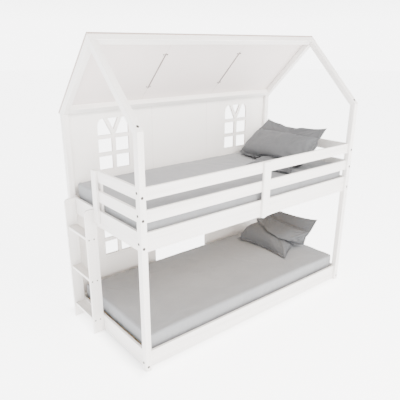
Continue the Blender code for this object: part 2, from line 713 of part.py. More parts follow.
def bedding(bunk, board_bottom, flat, leaning):
    """A mattress with one pillow flat on it and another leaning on the first."""
    bottom = board_bottom + SLAT_TOP_ABOVE_BOARD_BOTTOM + GAP
    bed_tree = mattress(f"{bunk}_mattress", bottom)
    top = bottom + MATTRESS_THICKNESS + MATTRESS_CROWN
    flat_tree = pillow(f"{bunk}_flat_pillow", ground=top, hem=PILLOW_FLANGE, trees=[bed_tree], **flat)
    pillow(f"{bunk}_leaning_pillow", ground=top, hem=PILLOW_HEM, trees=[bed_tree, flat_tree], **leaning)


def upper_bedding():
    flat = {
        "corners": UPPER_FLAT_PILLOW_SHARES,
        "front_crown": UPPER_FLAT_CROWN,
        "back_crown": PILLOW_FLAT_SAG,
    }
    leaning = {
        "corners": UPPER_LEANING_PILLOW_SHARES,
        "front_crown": UPPER_FRONT_CROWN,
        "back_crown": UPPER_BACK_CROWN,
        "head_draw_in": UPPER_HEAD_DRAW_IN,
        "foot_slump": UPPER_FOOT_SLUMP,
    }
    bedding("upper", UPPER_BUNK_BOTTOM, flat, leaning)


def lower_bedding():
    flat = {
        "corners": LOWER_FLAT_PILLOW_SHARES,
        "front_crown": LOWER_FLAT_CROWN,
        "back_crown": PILLOW_FLAT_SAG,
        "tilt_share": LOWER_FLAT_TILT_SHARE,
    }
    leaning = {
        "corners": LOWER_LEANING_PILLOW_SHARES,
        "front_crown": LOWER_FRONT_CROWN,
        "back_crown": LOWER_BACK_CROWN,
        "head_draw_in": LOWER_HEAD_DRAW_IN,
        "foot_slump": LOWER_FOOT_SLUMP,
    }
    bedding("lower", LOWER_BUNK_BOTTOM, flat, leaning)


def build():
    end_frames()
    ridge_beam()
    roof()
    bunk_boards("upper", UPPER_BUNK_BOTTOM)
    bunk_boards("lower", LOWER_BUNK_BOTTOM)
    guards()
    back_walls()
    slatted_base("upper", UPPER_BUNK_BOTTOM)
    slatted_base("lower", LOWER_BUNK_BOTTOM)
    step_unit()
    upper_bedding()
    lower_bedding()


build()
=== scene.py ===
"""House bunk bed, dressed: lacquered timber, fixings, fitted mattresses and filled pillows."""

from math import atan2, cos, exp, pi, radians, sin
from random import Random

import bmesh
import bpy
from mathutils import Euler, Matrix, Vector, noise
from mathutils.bvhtree import BVHTree


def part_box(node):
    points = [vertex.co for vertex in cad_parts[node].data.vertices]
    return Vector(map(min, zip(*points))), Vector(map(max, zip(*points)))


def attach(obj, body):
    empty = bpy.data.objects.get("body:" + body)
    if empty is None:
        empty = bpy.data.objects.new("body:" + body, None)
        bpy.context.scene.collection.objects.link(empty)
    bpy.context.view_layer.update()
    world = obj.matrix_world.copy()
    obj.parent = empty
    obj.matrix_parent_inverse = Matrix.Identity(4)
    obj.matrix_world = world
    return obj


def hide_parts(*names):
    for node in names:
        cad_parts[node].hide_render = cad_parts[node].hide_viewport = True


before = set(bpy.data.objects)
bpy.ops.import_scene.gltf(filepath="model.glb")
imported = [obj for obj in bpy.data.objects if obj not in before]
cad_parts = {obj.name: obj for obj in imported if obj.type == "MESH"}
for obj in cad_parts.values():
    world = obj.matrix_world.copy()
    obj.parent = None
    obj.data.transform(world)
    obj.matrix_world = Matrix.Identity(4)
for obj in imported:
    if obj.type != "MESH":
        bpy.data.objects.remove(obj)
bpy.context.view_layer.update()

# Places are counted from the frame's front left corner at the floor
CORNER = Vector((-1.0165, -0.516314, 0))
LENGTH = 2.10
WIDTH = 1.01
POST = 0.045
PITCH = radians(45)


def at(x, y, z):
    return CORNER + Vector((x, y, z))


# Node helpers
def feed(tree, entry, value):
    """Link a node's output to an input, or write a plain value there."""
    if isinstance(value, bpy.types.NodeSocket):
        tree.links.new(value, entry)
    else:
        entry.default_value = value


def new_material(name, colour, roughness, **sockets):
    made = bpy.data.materials.new(name)
    made.use_nodes = True
    shader = made.node_tree.nodes["Principled BSDF"]
    shader.inputs["Base Color"].default_value = (*colour, 1)
    shader.inputs["Roughness"].default_value = roughness
    for socket, value in sockets.items():
        shader.inputs[socket.replace("_", " ")].default_value = value
    return made, made.node_tree, shader


def add_node(tree, kind, properties=None, **sockets):
    made = tree.nodes.new("ShaderNode" + kind)
    for key, value in (properties or {}).items():
        setattr(made, key, value)
    for socket, value in sockets.items():
        feed(tree, made.inputs[socket.replace("_", " ")], value)
    return made


def own_place(tree):
    """Coordinates that belong to the object."""
    return add_node(tree, "TexCoord").outputs["Object"]


def stretched(tree, turn, scale):
    """Own coordinates turned so that X runs along the grain, then stretched."""
    turned = add_node(tree, "Mapping", Vector=own_place(tree), Rotation=turn)
    return add_node(tree, "Mapping", Vector=turned.outputs["Vector"], Scale=scale).outputs["Vector"]


def cloudy(tree, place, scale, detail, properties=None, **sockets):
    """Noise between nothing and one."""
    made = add_node(
        tree, "TexNoise", properties, Vector=place, Scale=scale, Detail=detail, **sockets
    )
    return made.outputs["Fac"]


def banded(tree, place, direction, scale, distortion, detail, detail_scale):
    """Parallel waves that wander a little."""
    made = add_node(
        tree, "TexWave", {"wave_type": "BANDS", "bands_direction": direction}, Vector=place,
        Scale=scale, Distortion=distortion, Detail=detail, Detail_Scale=detail_scale,
    )
    return made.outputs["Fac"]


def ramp(tree, factor, stops):
    made = add_node(tree, "ValToRGB", Fac=factor)
    elements = made.color_ramp.elements
    while len(elements) < len(stops):
        elements.new(0.5)
    for element, (position, colour) in zip(elements, stops):
        element.position = position
        element.color = (*colour, 1)
    return made.outputs["Color"]


def shade(tint, factor):
    return tuple(min(1, part * factor) for part in tint)


def shades(tree, factor, tint, stops):
    """A ramp over darker and paler shades of one tint."""
    return ramp(tree, factor, [(position, shade(tint, part)) for position, part in stops])


def remap(tree, value, low, high, to_low, to_high):
    made = add_node(
        tree, "MapRange", Value=value, From_Min=low, From_Max=high, To_Min=to_low, To_Max=to_high
    )
    return made.outputs["Result"]


def maths(tree, operation, first, second=0):
    made = add_node(tree, "Math", {"operation": operation})
    for entry, value in zip(made.inputs, (first, second)):
        feed(tree, entry, value)
    return made.outputs["Value"]


def dot_product(tree, first, second):
    made = add_node(tree, "VectorMath", {"operation": "DOT_PRODUCT"})
    for entry, value in zip(made.inputs, (first, second)):
        feed(tree, entry, value)
    return made.outputs["Value"]


def mix_colour(tree, factor, first, second):
    made = add_node(tree, "Mix", {"data_type": "RGBA"})
    feed(tree, made.inputs[0], factor)
    for entry, colour in zip(made.inputs[6:8], (first, second)):
        feed(tree, entry, (*colour, 1) if isinstance(colour, tuple) else colour)
    return made.outputs[2]


def edge_mask(tree, radius):
    """One along worn edges and nothing on the flats."""
    rounded = add_node(tree, "Bevel", {"samples": 4}, Radius=radius).outputs["Normal"]
    flat = add_node(tree, "NewGeometry").outputs["Normal"]
    return remap(tree, dot_product(tree, rounded, flat), 0.99, 0.82, 0, 1)


def bumped(tree, height, strength, distance, **sockets):
    made = add_node(tree, "Bump", Height=height, Strength=strength, Distance=distance, **sockets)
    return made.outputs["Normal"]


def wire(tree, shader, colour, normal, roughness=None):
    """Give a shader its colour, its bump and, where it varies, its roughness."""
    tree.links.new(colour, shader.inputs["Base Color"])
    tree.links.new(normal, shader.inputs["Normal"])
    if roughness is not None:
        tree.links.new(roughness, shader.inputs["Roughness"])


# Materials
def painted_wood(name, tint, turn):
    """Lacquer over planed softwood: grain that shows through, handling marks and paler edges."""
    made, tree, shader = new_material(name, tint, 0.4, Coat_Weight=0.12, Coat_Roughness=0.3)
    own = maths(tree, "MULTIPLY", add_node(tree, "ObjectInfo").outputs["Random"], 30)

    def grained(scale, detail):
        """Noise along the grain, different on each board."""
        place = stretched(tree, turn, scale)
        return cloudy(tree, place, 1.0, detail, properties={"noise_dimensions": "4D"}, W=own)

    grain = grained((1.4, 34, 34), 7.0)
    pores = grained((14, 420, 420), 3.0)
    handling = grained((1.1, 5, 5), 4.0)
    tone = shades(tree, grain, tint, ((0.32, 0.90), (0.48, 0.985), (0.66, 1.03)))
    toned = mix_colour(tree, remap(tree, handling, 0.52, 0.75, 0, 0.35), tone, shade(tint, 0.94))
    edges = maths(tree, "MULTIPLY", edge_mask(tree, 0.0035), 0.55)
    worn = mix_colour(tree, edges, toned, shade(tint, 1.1))
    gloss = remap(tree, handling, 0.3, 0.7, 0.34, 0.5)
    height = maths(tree, "ADD", grain, maths(tree, "MULTIPLY", pores, 0.35))
    rounded = add_node(tree, "Bevel", {"samples": 4}, Radius=0.0012).outputs["Normal"]
    relief = bumped(tree, height, strength=0.45, distance=0.0011, Normal=rounded)
    wire(tree, shader, worn, relief, gloss)
    return made


def panel_board(name, tint, sawn, facing):
    """Painted thin board: almost plain faces with a faint pressed fleck, and bare sawn edges."""
    made, tree, shader = new_material(name, tint, 0.55)
    place = own_place(tree)
    fleck = cloudy(tree, place, scale=620.0, detail=2.0)
    cloud = cloudy(tree, place, scale=3.2, detail=5.0)
    fibre = cloudy(tree, place, scale=260.0, detail=4.0)
    tone = shades(tree, cloud, tint, ((0.3, 0.965), (0.55, 1), (0.8, 1.015)))
    bare = shades(tree, fibre, sawn, ((0.3, 0.85), (0.7, 1.12)))
    normal = add_node(tree, "NewGeometry").outputs["True Normal"]
    turned = maths(tree, "ABSOLUTE", dot_product(tree, normal, facing))
    edge = remap(tree, turned, 0.75, 0.55, 0, 1)
    gloss = remap(tree, cloud, 0.3, 0.7, 0.48, 0.62)
    relief = bumped(tree, fleck, strength=0.12, distance=0.0003)
    wire(tree, shader, mix_colour(tree, edge, tone, bare), relief, gloss)
    return made


def bare_pine(name, turn):
    """Planed pine without paint: year rings along the grain, and fibres."""
    made, tree, shader = new_material(name, (0.66, 0.47, 0.28), 0.62)
    rings = banded(
        tree, stretched(tree, turn, (0.5, 24, 24)), "Y",
        scale=1.0, distortion=5.0, detail=3.0, detail_scale=1.2,
    )
    fibre = cloudy(tree, stretched(tree, turn, (9, 300, 300)), scale=1.0, detail=4.0)
    tone = ramp(
        tree, rings,
        [(0.1, (0.50, 0.32, 0.16)), (0.4, (0.68, 0.49, 0.29)), (0.9, (0.76, 0.58, 0.37))],
    )
    streaked = mix_colour(tree, maths(tree, "MULTIPLY", fibre, 0.35), tone, (0.55, 0.38, 0.2))
    wire(tree, shader, streaked, bumped(tree, fibre, strength=0.3, distance=0.0004))
    return made


def trim_plastic(name, tint):
    """Dark plastic with a fine grit and a little dust."""
    made, tree, shader = new_material(name, tint, 0.45)
    place = own_place(tree)
    grit = cloudy(tree, place, scale=900.0, detail=2.0)
    dust = cloudy(tree, place, scale=25.0, detail=4.0)
    dusty = shades(tree, dust, tint, ((0.35, 1), (0.8, 1.35)))
    wire(tree, shader, dusty, bumped(tree, grit, strength=0.2, distance=0.0002))
    return made


def woven_cotton(name, tint, thread, slub, sheen, slack):
    """Plain weave: crossing threads, uneven yarn, soft creases and a fine nap."""
    made, tree, shader = new_material(
        name, tint, 0.85,
        Sheen_Weight=sheen, Sheen_Roughness=0.4, Sheen_Tint=(*shade(tint, 1.7), 1),
    )
    place = own_place(tree)
    pitch = 1 / (thread * 20)
    across, along, through = (
        banded(tree, place, way, scale=pitch, distortion=0.4, detail=1.0, detail_scale=2.0)
        for way in "XYZ"
    )
    weave = maths(tree, "MULTIPLY", maths(tree, "ADD", across, along), through)
    wobble = cloudy(tree, place, scale=60.0, detail=2.0)
    yarn = cloudy(tree, place, scale=380.0, detail=3.0)
    cloud = cloudy(tree, place, scale=7.0, detail=5.0)
    crease = cloudy(
        tree, place, scale=5.5, detail=4.0,
        properties={"noise_type": "RIDGED_MULTIFRACTAL"}, Distortion=0.8,
    )
    tone = shades(tree, yarn, tint, ((0.3, 1 - slub), (0.5, 1), (0.72, 1 + slub)))
    broad = mix_colour(tree, remap(tree, cloud, 0.4, 0.8, 0, 0.5), tone, shade(tint, 0.9))
    knots = mix_colour(tree, maths(tree, "MULTIPLY", weave, 0.18), broad, shade(tint, 0.72))
    soft = bumped(tree, crease, strength=0.4, distance=slack)
    fine = bumped(tree, weave, strength=0.35, distance=thread * 0.4, Normal=soft)
    wire(tree, shader, knots, fine, remap(tree, wobble, 0.3, 0.7, 0.78, 0.92))
    return made


def zinc_steel(name, tint, roughness):
    """Dull plated steel with fine marks."""
    made, tree, shader = new_material(name, tint, roughness, Metallic=1.0)
    turned = cloudy(tree, own_place(tree), scale=700.0, detail=3.0)
    dull = shades(tree, turned, tint, ((0.3, 0.8), (0.7, 1.1)))
    gloss = remap(tree, turned, 0.3, 0.7, roughness - 0.06, roughness + 0.1)
    wire(tree, shader, dull, bumped(tree, turned, strength=0.2, distance=0.0001), gloss)
    return made


WHITE = (0.80, 0.772, 0.745)
WALL_WHITE = (0.85, 0.82, 0.79)
# The roof boards' white is darker and pinker than the walls': its darkness is painted shade,
# standing in for the shade under the roof
SHADED_ROOF_WHITE = (0.76, 0.69, 0.665)
SAWN = (0.36, 0.28, 0.245)
GRAIN_ALONG = {
    "x": (0, 0, 0),
    "y": (0, 0, pi / 2),
    "z": (0, pi / 2, 0),
    "front_slope": (-PITCH, 0, pi / 2),
    "back_slope": (PITCH, 0, pi / 2),
}
LACQUERED = {
    axis: painted_wood("white_lacquer_" + axis, WHITE, turn) for axis, turn in GRAIN_ALONG.items()
}
WALL_BOARD = panel_board("white_wall_board", WALL_WHITE, SAWN, (0, 1, 0))
# The roof boards are the wall board again, darker by painted shade
SHADED_ROOF_BOARD = panel_board("white_roof_board", SHADED_ROOF_WHITE, SAWN, (0, sin(PITCH), cos(PITCH)))
PINE_ALONG = {axis: bare_pine("pine_" + axis, GRAIN_ALONG[axis]) for axis in ("x", "y")}
DARK_STRIP = trim_plastic("dark_strip", (0.17, 0.14, 0.13))
SHEET = woven_cotton(
    "grey_sheet_cotton", (0.243, 0.248, 0.257), thread=0.0006, slub=0.06, sheen=0.25, slack=0.010
)
PILLOW = woven_cotton(
    "dark_grey_cotton", (0.092, 0.095, 0.100), thread=0.0007, slub=0.09, sheen=0.25, slack=0.005
)
THREAD = woven_cotton(
    "stitching_thread", (0.17, 0.17, 0.175), thread=0.0003, slub=0.1, sheen=0.2, slack=0.0005
)
BOLT_STEEL = zinc_steel("bolt_steel", (0.085, 0.078, 0.072), 0.42)
SOCKET_STEEL = zinc_steel("socket_steel", (0.08, 0.08, 0.08), 0.5)

# Names of the boards whose grain runs upright, and of those whose grain runs across the bed
UPRIGHT = ("post", "stile", "step_front_side", "step_rear_side")
CROSSWISE = (
    "left_", "right_", "upper_left", "upper_right", "lower_left", "lower_right", "step_tread"
)


def grain_of(node):
    if "rafter" in node:
        return "front_slope" if "front" in node else "back_slope"
    if any(part in node for part in UPRIGHT):
        return "z"
    return "y" if node.startswith(CROSSWISE) else "x"


def material_for(node):
    if "wall" in node:
        return WALL_BOARD
    if "roof_panel" in node:
        return SHADED_ROOF_BOARD
    if "strip" in node:
        return DARK_STRIP
    if "bearer" in node:
        return PINE_ALONG["y" if "slats" in node else "x"]
    return LACQUERED[grain_of(node)]


def dress_nodes():
    """Give each solid of the part its material."""
    for name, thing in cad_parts.items():
        material = material_for(name)
        for slot in thing.material_slots:
            slot.material = material


dress_nodes()


# Bolts and screws
def link_piece(name, data, materials, smooth):
    """A visible piece on the body, with edges sharper than the smooth angle left sharp."""
    data.materials.clear()
    for material in materials:
        data.materials.append(material)
    data.shade_smooth()
    data.set_sharp_from_angle(angle=radians(smooth))
    made = bpy.data.objects.new(name, data)
    bpy.context.scene.collection.objects.link(made)
    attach(made, "root")
    return made


def finished_mesh(name, shape):
    """A mesh from a form, which is freed."""
    data = bpy.data.meshes.new(name)
    shape.to_mesh(data)
    shape.free()
    return data


# The half section of a head, in shares of its radius and its height
HEAD_PROFILE = (
    (0.0, 0.62), (0.45, 0.62), (0.75, 0.5), (0.93, 0.28), (1.0, 0.06), (1.0, -0.35), (0.0, -0.35)
)
HEAD_STEPS = 24
SOCKET_DEPTH = 0.55
FIXING_SMOOTH = 40


def on_hexagon(vert, reach):
    """A place on a hexagon's outline, in the direction of a vertex."""
    angle = atan2(vert.co.y, vert.co.x)
    sector = (angle % (pi / 3)) - pi / 6
    return Vector((cos(angle), sin(angle))) * reach * cos(pi / 6) / cos(sector)


def bolt_mesh(name, radius, height, socket):
    """A flanged button head with a hexagonal socket, its axis along +Z."""
    shape = bmesh.new()
    verts = [shape.verts.new((radius * across, 0, height * up)) for across, up in HEAD_PROFILE]
    edges = [shape.edges.new(pair) for pair in zip(verts, verts[1:])]
    bmesh.ops.spin(
        shape, geom=verts + edges, cent=(0, 0, 0), axis=(0, 0, 1), angle=2 * pi,
        steps=HEAD_STEPS, use_merge=True,
    )
    bmesh.ops.remove_doubles(shape, verts=shape.verts, dist=radius / 100)
    bmesh.ops.recalc_face_normals(shape, faces=shape.faces)
    cap = [face for face in shape.faces if all(vert.co.z > height * 0.6 for vert in face.verts)]
    cap = bmesh.ops.dissolve_faces(shape, faces=cap)["region"]
    bmesh.ops.inset_region(shape, faces=cap, thickness=radius * 0.1)
    for face in cap:
        for vert in face.verts:
            vert.co.xy = on_hexagon(vert, socket)
    sunk = bmesh.ops.extrude_face_region(shape, geom=cap)["geom"]
    moved = [item for item in sunk if isinstance(item, bmesh.types.BMVert)]
    bmesh.ops.translate(shape, verts=moved, vec=(0, 0, -height * SOCKET_DEPTH))
    bottom = [item for item in sunk if isinstance(item, bmesh.types.BMFace)]
    for face in bottom:
        face.material_index = 1
    bmesh.ops.poke(shape, faces=bottom)
    bmesh.ops.delete(shape, geom=[face for face in cap if face.is_valid], context="FACES")
    bmesh.ops.recalc_face_normals(shape, faces=shape.faces)
    return finished_mesh(name, shape)


FRAME_BOLT = bolt_mesh("frame_bolt", radius=0.0092, height=0.0036, socket=0.0034)
SMALL_SCREW = bolt_mesh("small_screw", radius=0.0056, height=0.0024, socket=0.0022)


def link_fixing(name, data):
    return link_piece(name, data, (BOLT_STEEL, SOCKET_STEEL), FIXING_SMOOTH)


def place_fixing(name, data, place, outward):
    made = link_fixing(name, data.copy())
    made.location = place
    made.rotation_euler = Vector(outward).to_track_quat("Z", "Y").to_euler()


# Heights of the boards' middles: end bolts sit a shift above them, and face bolts below them
BOLT_LEVELS = {
    "lower_board": 0.047, "upper_board": 0.899, "guard_bottom": 1.077, "guard_top": 1.218
}
BOLT_SHIFT = 0.013
END_BOLT_INSET = 0.030
FACE_BOLT_INSET = 0.018


def frame_bolts():
    """Bolts through the posts into the boards: the two directions pass above each other."""
    for side, face_x, outward_x, board_x in (
        ("left", 0, -1, FACE_BOLT_INSET),
        ("right", LENGTH, 1, LENGTH - FACE_BOLT_INSET),
    ):
        for depth, face_y, outward_y, board_y in (
            ("front", 0, -1, END_BOLT_INSET),
            ("back", WIDTH, 1, WIDTH - END_BOLT_INSET),
        ):
            for level, centre in BOLT_LEVELS.items():
                guard_at_back = level.startswith("guard") and depth == "back"
                if not guard_at_back:
                    place_fixing(
                        f"bolt_{side}_{depth}_end_{level}", FRAME_BOLT,
                        at(face_x, board_y, centre + BOLT_SHIFT), (outward_x, 0, 0),
                    )
                if not (guard_at_back and side == "left"):
                    place_fixing(
                        f"bolt_{side}_{depth}_face_{level}", FRAME_BOLT,
                        at(board_x, face_y, centre - BOLT_SHIFT), (0, outward_y, 0),
                    )


RAFTER_FOOT_Y = 0.025
RAFTER_FOOT_Z = 1.610


def rafter_bolts():
    """A bolt through the foot of each front rafter, square to its slope."""
    slope = Vector((0, -sin(PITCH), cos(PITCH)))
    for side, x in (("left", POST / 2), ("right", LENGTH - POST / 2)):
        place = at(x, RAFTER_FOOT_Y, RAFTER_FOOT_Z)
        place_fixing(f"bolt_{side}_rafter_foot", FRAME_BOLT, place, slope)


# The outer face of each side of the step unit, and which way it faces along Y
STEP_FACES = {"front": (0.5988, -1), "rear": (0.932, 1)}
TREAD_LEVELS = {"bottom": 0.111, "middle": 0.434, "top": 0.757}
TREAD_SCREWS = (-0.0505, -0.012)


def step_screws():
    """Two screws through each side of the step unit into each tread."""
    for board, (y, outward) in STEP_FACES.items():
        for level, z in TREAD_LEVELS.items():
            for number, x in enumerate(TREAD_SCREWS, 1):
                name = f"step_screw_{board}_{level}_{number}"
                place_fixing(name, SMALL_SCREW, at(x, y, z), (0, outward, 0))


# Places along the bed, and ways down the slope from the ridge
STRIP_MIDDLES = {"left": 0.652, "right": 1.360}
STRIP_SCREWS = {"upper": 0.180, "lower": 0.506}
STRIP_SCREW_SHIFTS = (-0.016, 0.016)
UNDER_RIDGE = 2.090


def strip_screws():
    """Pairs of screws at both ends of the strips under the roof joints."""
    down = Vector((0, -cos(PITCH), -sin(PITCH)))
    for side, middle in STRIP_MIDDLES.items():
        for end, along in STRIP_SCREWS.items():
            for number, shift in enumerate(STRIP_SCREW_SHIFTS, 1):
                place = at(
                    middle + shift, WIDTH / 2 + along * cos(PITCH), UNDER_RIDGE - along * sin(PITCH)
                )
                place_fixing(f"roof_screw_{side}_{end}_{number}", SMALL_SCREW, place, down)


def panel_screws(node, spots, outward):
    """Screws in the outer face of a panel, in one mesh; spots are counted from the row's origin."""
    outward = Vector(outward).normalized()
    turn = outward.to_track_quat("Z", "Y").to_matrix().to_4x4()
    solid = bmesh.new()
    solid.from_mesh(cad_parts[node].data)
    solid.transform(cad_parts[node].matrix_world)
    tree = BVHTree.FromBMesh(solid)
    solid.free()
    shape = bmesh.new()
    for spot in spots:
        hit = tree.ray_cast(Vector(spot) + outward, -outward)[0]
        if hit:
            screw = SMALL_SCREW.copy()
            screw.transform(Matrix.Translation(hit) @ turn)
            shape.from_mesh(screw)
    link_fixing(node + "_screws", finished_mesh(node + "_screws", shape))


PANEL_EDGE = 0.022
PANEL_COLUMNS = 4
WALLS = (
    "upper_wall_left", "upper_wall_centre", "upper_wall_right", "lower_wall_left",
    "lower_wall_right",
)
ROOF_PANELS = ("roof_panel_left", "roof_panel_centre", "roof_panel_right")


def panel_columns(low, high):
    """Even places between two ends, the outer ones in from the edges."""
    span = high - low - 2 * PANEL_EDGE
    return [low + PANEL_EDGE + span * step / (PANEL_COLUMNS - 1) for step in range(PANEL_COLUMNS)]


def all_panel_screws():
    """Two rows of screws on the back of each wall panel and on top of each roof panel."""
    for node in WALLS:
        low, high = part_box(node)
        rows = (low[2] + PANEL_EDGE, high[2] - PANEL_EDGE)
        spots = [(x, high[1], z) for x in panel_columns(low[0], high[0]) for z in rows]
        panel_screws(node, spots, (0, 1, 0))
    for node in ROOF_PANELS:
        low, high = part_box(node)
        rows = (
            (low[1] + PANEL_EDGE, high[2] - PANEL_EDGE),
            (high[1] - 2 * PANEL_EDGE, low[2] + 2 * PANEL_EDGE),
        )
        spots = [(x, y, z) for x in panel_columns(low[0], high[0]) for y, z in rows]
        panel_screws(node, spots, (0, 1, 1))


frame_bolts()
rafter_bolts()
step_screws()
strip_screws()
all_panel_screws()


# Mattresses
SHEET_INSET = 0.0015
SHEET_RADIUS = 0.022
SHEET_CELLS = (0.014, 0.014, 0.016)
SHEET_SMOOTH = 60
CORNER_FOLD_TURNS = (8, 24, 41, 60)
TOP_FOLDS = 14
SIDE_FOLDS_PER_METRE = 22
SIDE_FOLD_WIDTH = 0.018
# The sheet drops towards the top's edges, lies unevenly, and gathers near the edges.
# It has tucks at the corners and swells at the sides, and all of it sinks to stay in its place.
SHEET_DROP = 0.0055
SHEET_SINK = 0.0022
BROAD_LIE, FINE_LIE = 0.0026, 0.0012
GATHER_REACH = 0.10
GATHER_SIZE = 0.026
GATHER_DEPTH = 0.0024
TUCK_DEPTH = 0.0022
TUCK_TURN_PER_METRE = 190
SIDE_SWELL = 0.0025


def wander(point, size, seed):
    """Smooth noise between minus one and one, over features of a given size."""
    return noise.noise(Vector(point) / size + Vector((seed, seed * 0.7, -seed)))


def creased(spot, lines):
    """How far the folds near a place push the cloth in or out."""
    total = 0.0
    for start, end, width, depth in lines:
        way = end - start
        along = (spot - start).dot(way) / way.length_squared
        if 0 < along < 1:
            off = ((spot - start - way * along).length / (width * (0.6 + along))) ** 2
            total -= depth * sin(pi * along**0.6) * (1 - off) * exp(-off)
    return total


def sheet_folds(half, seed):
    """Slack in a fitted sheet: long faint folds on top, short upright ones round the sides."""
    dice = Random(seed)
    top, end, side = [], [], []
    for corner_x in (-1, 1):
        for corner_y in (-1, 1):
            start = Vector((corner_x * half.x * 0.99, corner_y * half.y * 0.99, 0))
            for turn in CORNER_FOLD_TURNS:
                angle = radians(turn + dice.uniform(-6, 6))
                way = Vector((-corner_x * cos(angle), -corner_y * sin(angle), 0))
                width = dice.uniform(0.022, 0.032)
                finish = start + way * dice.uniform(0.25, 0.55)
                top.append((start, finish, width, dice.uniform(0.002, 0.0045)))
    for _ in range(TOP_FOLDS):
        start = Vector((dice.uniform(-0.9, 0.9) * half.x, dice.uniform(-0.9, 0.9) * half.y, 0))
        angle = dice.uniform(-0.5, 0.5) + (pi / 2 if dice.random() > 0.6 else 0)
        way = Vector((cos(angle), sin(angle), 0)) * dice.uniform(0.15, 0.45)
        top.append((start, start + way, dice.uniform(0.022, 0.034), dice.uniform(0.0012, 0.003)))
    for folds, reach in ((end, half.y), (side, half.x)):
        count = round(reach * SIDE_FOLDS_PER_METRE)
        for index in range(count):
            place = (2 * (index + dice.uniform(0.1, 0.9)) / count - 1) * reach
            start = Vector((place, -half.z * 1.15, 0))
            lean = dice.uniform(-0.03, 0.03)
            finish = start + Vector((lean, dice.uniform(0.7, 1.7) * half.z, 0))
            folds.append((start, finish, SIDE_FOLD_WIDTH, dice.uniform(0.0015, 0.004)))
    return top, end, side


def foam_block(half):
    """A block with rounded edges, cut in small cells."""
    shape = bmesh.new()
    bmesh.ops.create_cube(shape, size=2, matrix=Matrix.Diagonal((*half, 1)))
    bmesh.ops.bevel(
        shape, geom=shape.edges[:], offset=SHEET_RADIUS, segments=5, profile=0.5, affect="EDGES"
    )
    for axis, cell in enumerate(SHEET_CELLS):
        flat = half[axis] - SHEET_RADIUS
        count = max(2, round(2 * flat / cell))
        normal = Vector((axis == 0, axis == 1, axis == 2))
        for index in range(1, count):
            spot = Vector((0, 0, 0))
            spot[axis] = -flat + 2 * flat * index / count
            whole = shape.verts[:] + shape.edges[:] + shape.faces[:]
            bmesh.ops.bisect_plane(shape, geom=whole, plane_co=spot, plane_no=normal)
    shape.normal_update()
    return shape


def sheet_relief(vert, across, half, folds, seed):
    """How far the sheet stands off the block: slack, gathers by the edges, tucks and folds."""
    x, y, z = vert.co
    top_folds, end_folds, side_folds = folds
    if vert.normal.z > 0.5:
        fold = creased(Vector((x, y, 0)), top_folds)
    elif abs(vert.normal.x) > 0.5:
        fold = creased(Vector((y, z, 0)), end_folds)
    else:
        fold = creased(Vector((x, z, 0)), side_folds)
    corner = max(0, across.x - 0.90) / 0.10 * max(0, across.y - 0.80) / 0.20
    edge_x = max(0, 1 - (half.x - abs(x)) / GATHER_REACH)
    edge_y = max(0, 1 - (half.y - abs(y)) / GATHER_REACH)
    lie = wander(vert.co, 0.32, seed) * BROAD_LIE + wander(vert.co, 0.09, seed + 3) * FINE_LIE
    pulled = wander((x / 7, y, z / 4), GATHER_SIZE, seed + 5) * GATHER_DEPTH * edge_x
    pulled += wander((x, y / 7, z / 4), GATHER_SIZE, seed + 9) * GATHER_DEPTH * edge_y
    turn = (abs(x) - half.x + abs(y) - half.y) * TUCK_TURN_PER_METRE + seed
    tucks = sin(turn) * TUCK_DEPTH * min(1, corner * 1.6)
    at_side = abs(across.z) < 1 and (across.x > 0.97 or across.y > 0.97)
    swell = SIDE_SWELL * (1 - across.z**2) if at_side else 0
    return lie + pulled + tucks + fold - SHEET_SINK + swell


def mattress_mesh(name, low, high, seed):
    """A foam block in a fitted cotton sheet; also a tree of its faces."""
    low = Vector(low) + Vector((SHEET_INSET, SHEET_INSET, 0))
    high = Vector(high) - Vector((SHEET_INSET, SHEET_INSET, SHEET_INSET))
    centre, half = (low + high) / 2, (high - low) / 2
    shape = foam_block(half)
    folds = sheet_folds(half, seed)
    for vert in shape.verts:
        x, y, z = vert.co
        across = Vector((abs(x) / half.x, abs(y) / half.y, z / half.z))
        relief = vert.normal * sheet_relief(vert, across, half, folds, seed)
        if z > 0:
            dome = (1 - min(1, across.x) ** 4) * (1 - min(1, across.y) ** 4)
            vert.co.z -= SHEET_DROP * (1 - dome) * (z / half.z)
        vert.co += relief
        vert.co.z = max(vert.co.z, -half.z)
    bmesh.ops.translate(shape, verts=shape.verts, vec=centre)
    tree = BVHTree.FromBMesh(shape)
    return finished_mesh(name, shape), tree


def mattress(bunk, seed):
    low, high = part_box(f"{bunk}_mattress")
    data, tree = mattress_mesh(f"{bunk}_fitted_mattress", low, high, seed)
    made = link_piece(f"{bunk}_fitted_mattress", data, (SHEET,), SHEET_SMOOTH)
    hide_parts(f"{bunk}_mattress")
    return tree


# Pillows
CASE_CELL = 0.010
FLANGE = 0.014
HEM = 0.120
HEM_THICKNESS = 0.003
SIM_FRAMES = 30
CASE_SMOOTH = 60
REST_GAP = 0.0015
LAYER_GAP = 0.004
PLUMPNESS = 0.55
BROAD_DENT, FINE_DENT = 0.014, 0.006
STITCH_PITCH = 0.0042
STITCH_INSET = 0.0032
STITCH_SIZE = (0.0015, 0.00045, 0.00035)
STITCH_SMOOTH = 80


def seam_places(length, first, last, cell):
    """Grid lines across a case, with one on each seam; also the seams' own numbers."""
    inner = length - first - last
    counts = [max(2, round(part / cell)) for part in (first, inner, last)]
    starts = [0, first, first + inner]
    lines = [0.0]
    for start, part, count in zip(starts, (first, inner, last), counts):
        lines += [start + part * step / count for step in range(1, count + 1)]
    return [line - length / 2 for line in lines], counts[0], counts[0] + counts[1]


